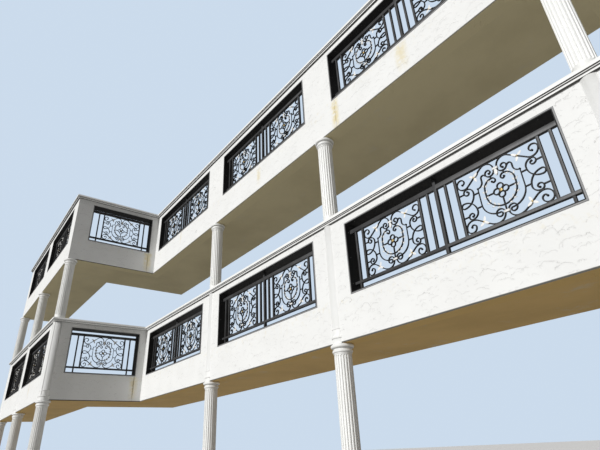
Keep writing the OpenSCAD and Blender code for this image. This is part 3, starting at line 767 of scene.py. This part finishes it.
def make_stucco():
    """Trowelled white stucco with rusty runs, raw where the balcony is cut off."""
    finish = Finish("stucco", roughness=0.85)
    x, y, z = finish.parts(finish.place)
    fans, rim_shade = fan_strokes(finish)
    grain = finish.noise(240.0, 4.0, 0.7)
    swell = finish.noise(2.2, 3.0)
    streaks = finish.noise(1.0, 5.0, 0.6, finish.stretched((26, 26, 1.3)))
    mottled = finish.noise(13.0, 5.0, 0.7)
    level = finish.times(finish.maths("FRACT", finish.maths(
        "MULTIPLY_ADD", z, 1 / STOREY, -LOWER_SOFFIT_Z / STOREY)), STOREY)
    colour = finish.tint(finish.spread(swell, 0.35, 0.7), STUCCO_WHITE, STUCCO_SHADE)
    # Painted shade: thin dark lines along the trowel rims
    colour = finish.over(colour, TROWEL_RIM_SHADE, rim_shade, 0.48)
    colour = finish.over(colour, WASH_GREY, finish.spread(streaks, 0.52, 0.80),
                         finish.spread(level, PARAPET_H - WASH_REACH, PARAPET_H), 0.16)
    colour = finish.over(colour, STAIN_YELLOW,
                         finish.spread(level, SILL_Z - SILL_REACH, SILL_Z),
                         finish.spread(level, SILL_Z + 0.02, SILL_Z),
                         finish.spread(mottled, 0.50, 0.72), 0.22)
    for sx, sy, top, half, length, strength, dark in RUNS:
        place = finish.times(finish.near(x, sx, half * 3), finish.near(y, sy, half * 3))
        aside = finish.minus(y, sy) if sx == RETURN_X else finish.minus(x, sx)
        aside = finish.maths("ABSOLUTE", finish.plus(
            aside, finish.times(finish.minus(mottled, 0.5), 0.04)))
        down = finish.times(finish.spread(z, top + 0.01, top - 0.04),
                            finish.spread(z, top - length, top - length * 0.45))
        colour = finish.over(colour, STAIN_YELLOW, place,
                             finish.spread(aside, half * 1.5, half * 0.2), down,
                             finish.spread(mottled, 0.28, 0.60), strength)
        colour = finish.over(colour, STAIN_BROWN, place,
                             finish.spread(aside, 0.016, 0.004), down,
                             finish.spread(streaks, 0.30, 0.50), dark)
    # A dark band along the foot of each parapet face
    colour = finish.over(colour, FOOT_BAND_DARK, finish.spread(level, *FOOT_BAND_SPAN), 0.95)
    # Faces that look down take the soffit's beige, with its painted warm light
    colour = finish.over(colour, soffit_beige_and_bounce(finish, z), finish.facing(-0.3, -0.7))
    colour = finish.over(colour, CONCRETE_GREY, finish.facing(0.3, 0.7))
    cut = finish.maths("MAXIMUM", finish.near(y, FRONT_CUT_Y, CUT_REACH),
                       finish.near(y, WING_CUT_Y, CUT_REACH))
    cut = finish.times(cut, finish.facing(0.6, 0.9, axis=1))
    lump = finish.noise(38.0, 6.0, 0.75)
    raw = finish.tint(finish.spread(lump, 0.38, 0.66), CONCRETE_GREY, WALL_CUT_PALE)
    colour = finish.over(colour, raw, cut)
    relief = finish.bump(grain, 0.0008, 0.7)
    relief = finish.bump(finish.times(lump, cut), 0.012, 1.0, under=relief)
    relief = finish.bump(fans, 0.0018, 0.9, under=relief)
    return finish.close(colour, finish.level(grain, 0.78, 0.92), relief)


def make_soffit():
    """Slabs: painted render below, screed on top, broken concrete where cut."""
    finish = Finish("soffit_render", roughness=0.75)
    # The beige carries painted warm light under the lower tier
    beige_and_bounce = soffit_beige_and_bounce(finish, finish.parts(finish.place)[2])
    fine = finish.noise(60.0, 4.0, 0.65)
    lump = finish.noise(30.0, 6.0, 0.75)
    paint = finish.tint(finish.spread(finish.noise(0.9, 5.0, 0.6), 0.35, 0.72),
                        beige_and_bounce, finish.vector_maths("MULTIPLY", beige_and_bounce, SOFFIT_DARKER))
    paint = finish.over(paint, SOFFIT_PATCH,
                        finish.spread(finish.noise(2.6, 6.0, 0.7), 0.58, 0.70), 0.35)
    screed = finish.tint(finish.spread(finish.noise(5.0, 6.0), 0.3, 0.7),
                         SCREED_GREY, SCREED_DARK)
    stones = finish.node("ShaderNodeTexVoronoi", {"Vector": finish.place, "Scale": 48.0},
                         feature="F1").outputs["Distance"]
    raw = finish.tint(finish.spread(lump, 0.35, 0.7), CONCRETE_GREY, SLAB_CUT_PALE)
    raw = finish.over(raw, PEBBLE_BROWN, finish.spread(stones, 0.32, 0.24), 0.6)
    up_face, down_face = finish.facing(0.3, 0.7), finish.facing(-0.3, -0.7)
    side_face = finish.minus(1.0, finish.plus(up_face, down_face))
    colour = finish.over(finish.over(raw, screed, up_face), paint, down_face)
    relief = finish.bump(fine, 0.0012, 0.5)
    relief = finish.bump(finish.times(lump, side_face), 0.015, 1.0, under=relief)
    return finish.close(colour, finish.level(fine, 0.6, 0.85), relief)


def make_moulding(name, underside_shade):
    """Smooth masonry paint, with painted shade darkening the faces that look down."""
    finish = Finish(name, roughness=0.5)
    z = finish.parts(finish.place)[2]
    roller = finish.noise(220.0, 3.0, 0.6)
    streaks = finish.noise(1.0, 3.0, 0.5, finish.stretched((22, 22, 0.9)))
    colour = finish.tint(finish.spread(finish.noise(3.0, 4.0), 0.35, 0.75),
                         MOULDING_WHITE, MOULDING_SHADE)
    colour = finish.over(colour, MOULDING_STREAK, finish.spread(streaks, 0.55, 0.85), 0.12)
    colour = finish.over(colour, SPLASH_BROWN,
                         finish.spread(z, GROUND_Z + SPLASH_REACH, GROUND_Z),
                         finish.spread(finish.noise(11.0, 6.0, 0.7), 0.40, 0.75), 0.6)
    colour = finish.over(colour, LEDGE_DUST, finish.facing(0.6, 0.95),
                         finish.spread(finish.noise(6.0, 6.0, 0.7), 0.30, 0.70), 0.55)
    # Painted shade: downward faces darkened as if in shadow, as strong as the given share
    colour = finish.over(colour, UNDERSIDE_SHADE_BLACK, finish.facing(-0.55, -0.90),
                         finish.spread(finish.noise(8.0, 5.0, 0.7), 0.0, 0.28), underside_shade)
    return finish.close(colour, finish.level(roller, 0.40, 0.58),
                        finish.bump(roller, 0.0006, 0.6))


# Metal finishes

def make_iron(name, paint, rust_from):
    """Brush-painted wrought iron with a few rust specks."""
    finish = Finish(name, roughness=0.42, shine=0.35)
    brush = finish.noise(1.0, 4.0, 0.6, finish.stretched((140, 140, 18)))
    hammer = finish.noise(70.0, 3.0, 0.5)
    specks = finish.noise(55.0, 5.0, 0.7)
    broad = finish.noise(4.0, 3.0)
    worn = tuple(value * 1.6 + 0.004 for value in paint)
    colour = finish.tint(finish.spread(broad, 0.35, 0.72), paint, worn)
    rust = finish.times(finish.spread(specks, rust_from, rust_from + 0.07),
                        finish.spread(broad, 0.42, 0.60))
    colour = finish.over(colour, RUST_BROWN, rust, 0.8)
    colour = finish.over(colour, IRON_DUST, finish.facing(0.6, 0.95), 0.35)
    rough = finish.level(rust, finish.level(brush, 0.38, 0.54), 0.85)
    relief = finish.bump(brush, 0.0004, 0.5)
    relief = finish.bump(hammer, 0.0012, 0.5, under=relief)
    relief = finish.bump(specks, 0.0006, 0.4, under=relief)
    return finish.close(colour, rough, relief)


def make_leaf_paint():
    """Old silver-white enamel with gilt left in the hollows."""
    finish = Finish("leaf_enamel", roughness=0.45)
    blotch = finish.noise(60.0, 4.0, 0.65)
    fine = finish.noise(320.0, 3.0, 0.6)
    colour = finish.tint(finish.spread(blotch, 0.45, 0.80), LEAF_WHITE, LEAF_WORN)
    hollow = finish.plus(finish.attribute("recess"), finish.times(blotch, 0.30))
    colour = finish.over(colour, LEAF_GILT, finish.spread(hollow, 1.04, 1.24), 0.4)
    chips = finish.spread(finish.noise(95.0, 5.0, 0.75), 0.69, 0.73)
    colour = finish.over(colour, IRON_BLACK, chips, 0.85)
    return finish.close(colour, finish.level(blotch, 0.36, 0.60),
                        finish.bump(fine, 0.0003, 0.6))


def make_gilt():
    """Gilt on the bosses, browned in spots."""
    finish = Finish("boss_gilt", roughness=0.38, metallic=0.55)
    tarnish = finish.noise(75.0, 5.0, 0.7)
    colour = finish.tint(finish.spread(tarnish, 0.42, 0.68), BOSS_GILT, BOSS_TARNISH)
    return finish.close(colour, finish.level(tarnish, 0.30, 0.55),
                        finish.bump(finish.noise(260.0, 3.0), 0.0003, 0.6))


def make_lining():
    """Coated sheet metal, dark, with painted light on its front: the outer edge is made
    grey as if lit.
    """
    finish = Finish("lining_metal", roughness=0.6, shine=0.25)
    x, y = finish.parts(finish.place)[:2]
    streaks = finish.noise(1.0, 4.0, 0.6, finish.stretched((40, 40, 3)))
    dust = finish.noise(7.0, 4.0)
    front = finish.maths("MAXIMUM", finish.near(y, FRONT_Y, 0.012),
                         finish.near(y, WING_Y, 0.012))
    front = finish.times(front, finish.facing(-0.5, -0.9, axis=1))
    side = finish.times(finish.near(x, RETURN_X, 0.012), finish.facing(0.5, 0.9, axis=0))
    # Painted light: the outer edge of faces that look out, grey as if lit
    lit_edge = finish.times(finish.maths("MAXIMUM", front, side),
                           finish.spread(finish.attribute("rim"), 0.40, 0.46))
    colour = finish.tint(lit_edge, LINING_DARK, LINING_LIT_EDGE)
    colour = finish.over(colour, LINING_STREAK, finish.spread(streaks, 0.5, 0.8), 0.20)
    colour = finish.over(colour, LINING_DUST, finish.facing(0.5, 0.9),
                         finish.spread(dust, 0.3, 0.7), 0.55)
    return finish.close(colour, finish.level(streaks, 0.50, 0.68),
                        finish.bump(finish.noise(90.0, 3.0), 0.0004, 0.5))


def make_screw_zinc():
    """Zinc-plated screws gone dull."""
    finish = Finish("screw_zinc", roughness=0.4, metallic=0.8)
    dull = finish.noise(180.0, 4.0, 0.7)
    colour = finish.tint(finish.spread(dull, 0.40, 0.66), SCREW_ZINC, SCREW_DULL)
    return finish.close(colour, finish.level(dull, 0.32, 0.62),
                        finish.bump(dull, 0.0002, 0.5))


def make_floor():
    """A plain floor, paler to the camera than to the light."""
    finish = Finish("pale_floor", roughness=0.9)
    seen = finish.node("ShaderNodeLightPath").outputs["Is Camera Ray"]
    colour = finish.tint(seen, FLOOR_PALE, FLOOR_SEEN)
    colour = finish.over(colour, FLOOR_MARK, finish.noise(0.35, 4.0), 0.06)
    bpy.ops.mesh.primitive_plane_add(size=FLOOR_SIZE, location=(0, 0, GROUND_Z))
    floor = bpy.context.object
    floor.name = "floor"
    floor.data.materials.append(finish.close(colour))


# Pieces

def in_bmesh(*meshes):
    bm = bmesh.new()
    for mesh in meshes:
        bm.from_mesh(mesh)
    return bm


def welded(*meshes):
    """One bmesh of several meshes, with its faces turned outwards."""
    bm = in_bmesh(*meshes)
    bmesh.ops.remove_doubles(bm, verts=bm.verts, dist=1e-7)
    bmesh.ops.recalc_face_normals(bm, faces=bm.faces)
    return bm


def merged(node):
    """A bmesh of a CAD node, with doubles merged and flat faces joined."""
    bm = in_bmesh(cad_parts[node].data)
    bmesh.ops.remove_doubles(bm, verts=bm.verts, dist=2e-5)
    bmesh.ops.dissolve_limit(bm, angle_limit=radians(0.3), verts=bm.verts,
                             edges=bm.edges)
    return bm


def as_piece(name, bm, material, node, smooth_angle=30.0):
    """A piece that rides on the part and replaces the node that is given."""
    mesh = bpy.data.meshes.new(name)
    bm.to_mesh(mesh)
    bm.free()
    mesh.materials.clear()
    mesh.materials.append(material)
    for polygon in mesh.polygons:
        polygon.use_smooth = True
        polygon.material_index = 0
    mesh.set_sharp_from_angle(angle=radians(smooth_angle))
    piece = linked(name, mesh)
    if node:
        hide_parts(node)
    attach(piece, "root")
    return piece


def eased(node, width, material):
    """A CAD node's shape with its sharp edges rounded off."""
    bm = merged(node)
    sharp = [edge for edge in bm.edges
             if len(edge.link_faces) == 2 and edge.calc_face_angle() > radians(35)]
    bmesh.ops.bevel(bm, geom=sharp, offset=width, segments=2, profile=0.5,
                    affect="EDGES", clamp_overlap=True)
    return as_piece(node + "_eased", bm, material, node)


def crisp(node):
    """A CAD node's turned moulding, smooth round and sharp at its steps."""
    as_piece(node + "_turned", merged(node), moulding_paint, node)


def coat(node, material):
    """Gives a CAD node that is shown as it is its finish."""
    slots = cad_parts[node].data.materials
    slots.clear()
    slots.append(material)


def mark_rims(piece, underside):
    """Writes how far each point of a lining lies from its opening: 0 at the
    inner face of the plates and 1 at their outer face."""
    middle, tall = (SILL_Z + HEAD_Z) / 2 + underside, (HEAD_Z - SILL_Z) / 2 - LINING_T
    values = []
    for vert in piece.data.vertices:
        outside = []
        for (bx, by), turn, half, _ in BAYS.values():
            step = vert.co - Vector((bx, by, middle))
            along, away = (step.y, step.x) if turn else (step.x, step.y)
            if abs(away) < 0.3 and abs(along) < half + 0.01:
                outside.append(max(abs(along) - half + LINING_T, abs(step.z) - tall))
        values.append(min(outside) / LINING_T)
    rim = piece.data.attributes.new("rim", "FLOAT", "POINT")
    rim.data.foreach_set("value", values)


def bay_axes(turn):
    """The direction along a bay's face and the one in from it."""
    ahead = Vector((cos(radians(turn)), sin(radians(turn)), 0))
    return ahead, Vector((-ahead.y, ahead.x, 0))


def in_mm(*values):
    return tuple(value / 1000 for value in values)


def panel_shapes(set_out):
    """The bars, leaves and gilt bosses of one panel, as helper objects."""
    bars = bent_iron_rule().run(path_mesh(*panel_paths()), width=IRON_W / 1000,
                                depth=IRON_D / 1000, easing=IRON_EASING / 1000,
                                finish=scroll_iron)
    unit = 0.001
    bead = turned_shape("bead_shape", both_ways(
        ((0, -12), (6, -11.4), (9.4, -9), (EYE_R, -5))), 12)
    spots = []
    for (x, z), width in [(eye, 1.0) for eye in EYES] + [(BUTTON, BUTTON_R / EYE_R)]:
        size = (unit * width, unit, unit * width)
        spots += [(in_mm(s * x, 0, z), (0, 0, 0), size) for s in (1, -1)]
    beads = set_out.run(point_mesh(spots), shape=bead, finish=scroll_iron)

    spots = []
    for x, y, z, roll, heading, length, width in leaf_places():
        size = in_mm(length, 1000, width)
        spots.append((in_mm(x, y, z), (roll, -heading, 0), size))
        spots.append((in_mm(-x, y, z), (roll, heading - 180, 0), size))
    for side, roll in ((-1, 0), (1, 180)):
        spots.append((in_mm(0, side * 2, PENDANT_Z), (roll, 90, 0),
                      in_mm(PENDANT[0], 1500, PENDANT[1])))
    leaves = set_out.run(point_mesh(spots), shape=leaf_shape(), finish=leaf_enamel)
    spots = [(in_mm(0, 0, z), (0, 0, 0), (1, 1, 1)) for z in (COLLAR_TOP, COLLAR_FOOT)]
    collars = set_out.run(point_mesh(spots), shape=collar_shape(), finish=leaf_enamel)

    boss = turned_shape("boss_shape", both_ways(
        ((0, -15), (7, -14), (9, -11.5), (17, -10.5), (18, -7))), 24, 8, 0.10)
    spots = [(in_mm(0, 0, MIDDLE_Z), (0, 0, 0), (unit,) * 3)]
    across, deep = unit * SPRIG_BOSS[0], unit * SPRIG_BOSS[1]
    for x, z, _ in SPRIGS:
        spots += [(in_mm(s * x, 0, z), (0, 0, 0), (across, deep, across)) for s in (1, -1)]
    bosses = set_out.run(point_mesh(spots), shape=boss, finish=boss_gilt)
    return (as_shape("bars_shape", welded(bars, beads)),
            as_shape("leaves_shape", welded(leaves, collars)),
            as_shape("bosses_shape", welded(bosses)))


def make_scrollwork(set_out):
    """The scroll panels of every opening, in one piece for each finish."""
    bars, leaves, bosses = panel_shapes(set_out)
    for level, underside in LEVELS.items():
        for bay, ((bx, by), turn, _, middles) in BAYS.items():
            ahead, inward = bay_axes(turn)
            base = Vector((bx, by, underside + PANEL_MID_Z)) + inward * RAILING_Y
            points = [(tuple(base + ahead * middle), (0, 0, turn), (1, 1, 1))
                      for middle in middles]
            node = f"scrollwork_{level}_{bay}"
            for shape, name, finish, replaced, angle in (
                    (bars, "_bars", scroll_iron, node, 35.0),
                    (leaves, "_leaves", leaf_enamel, None, 75.0),
                    (bosses, "_bosses", boss_gilt, None, 50.0)):
                mesh = set_out.run(point_mesh(points), shape=shape, finish=finish)
                as_piece(node + name, in_bmesh(mesh), finish, replaced,
                         angle)


def make_shafts():
    fluted = fluted_shaft_rule()
    for storey, (foot, height) in SHAFTS.items():
        mesh = bpy.data.meshes.new("axes")
        mesh.from_pydata([(x, y, foot) for x, y in COLUMN_AXES], [], [])
        shafts = fluted.run(mesh, radius=SHAFT_R, flutes=FLUTES, groove=FLUTE_R,
                            height=height, plain=PLAIN_BAND, finish=moulding_paint)
        node = storey + "_column_shafts"
        as_piece(node + "_fluted", welded(shafts), moulding_paint, node,
                 40.0)


def make_screws(set_out):
    """Screws through the lining plates, before and behind the railing."""
    head = turned_shape("screw_shape", ((4.6, 0), (4.6, -0.8), (3.4, -2.0), (1.9, -2.3),
                                        (1.5, -1.2), (0, -1.2)), 10)
    size = in_mm(1, 1, 1)
    low, high = SILL_Z + LINING_T, HEAD_Z - LINING_T
    for level, underside in LEVELS.items():
        spots = []
        for (bx, by), turn, half, _ in BAYS.values():
            ahead, inward = bay_axes(turn)
            reach = half - LINING_T
            for depth in SCREW_DEPTHS:
                base = Vector((bx, by, underside)) + inward * depth
                for part in SCREWS_ALONG:
                    for z, flip in ((low, -90), (high, 90)):
                        place = base + ahead * part * reach + Vector((0, 0, z))
                        spots.append((tuple(place), (flip, 0, turn), size))
                for side in (-1, 1):
                    for part in SCREWS_UP:
                        place = (base + ahead * side * reach
                                 + Vector((0, 0, low + (high - low) * part)))
                        spots.append((tuple(place), (0, 0, turn - side * 90), size))
        mesh = set_out.run(point_mesh(spots), shape=head, finish=screw_zinc)
        as_piece(f"lining_screws_{level}", in_bmesh(mesh), screw_zinc, None,
                 40.0)


# The balcony

make_camera()
make_lights()
make_floor()

stucco = make_stucco()
soffit_render = make_soffit()
# The last number says how dark the painted shade on downward faces is
moulding_paint = make_moulding("moulding_paint", 0.35)
coping_paint = make_moulding("coping_paint", 0.97)
rail_iron = make_iron("rail_iron", IRON_GREY, 0.66)
scroll_iron = make_iron("scroll_iron", IRON_BLACK, 0.64)
leaf_enamel = make_leaf_paint()
boss_gilt = make_gilt()
lining_metal = make_lining()
screw_zinc = make_screw_zinc()

# Finish of each CAD node by the start of its name; the rest is moulding
FINISHES = {"parapet": stucco, "floor_slab": soffit_render, "railing": rail_iron,
            "scrollwork": scroll_iron, "opening_linings": lining_metal,
            "coping": coping_paint}
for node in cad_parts:
    coat(node, next((finish for start, finish in FINISHES.items()
                     if node.startswith(start)), moulding_paint))

set_out = set_out_rule()
make_scrollwork(set_out)
make_shafts()
make_screws(set_out)
for level, underside in LEVELS.items():
    eased("coping_" + level, COPING_EASING, coping_paint)
    linings = eased("opening_linings_" + level, LINING_EASING, lining_metal)
    mark_rims(linings, underside)
    for bay in BAYS:
        eased(f"railing_{level}_{bay}", RAIL_EASING, rail_iron)
for node in ("pilasters_lower", "ground_column_capitals", "upper_column_capitals",
             "ground_column_bases", "upper_column_bases"):
    crisp(node)
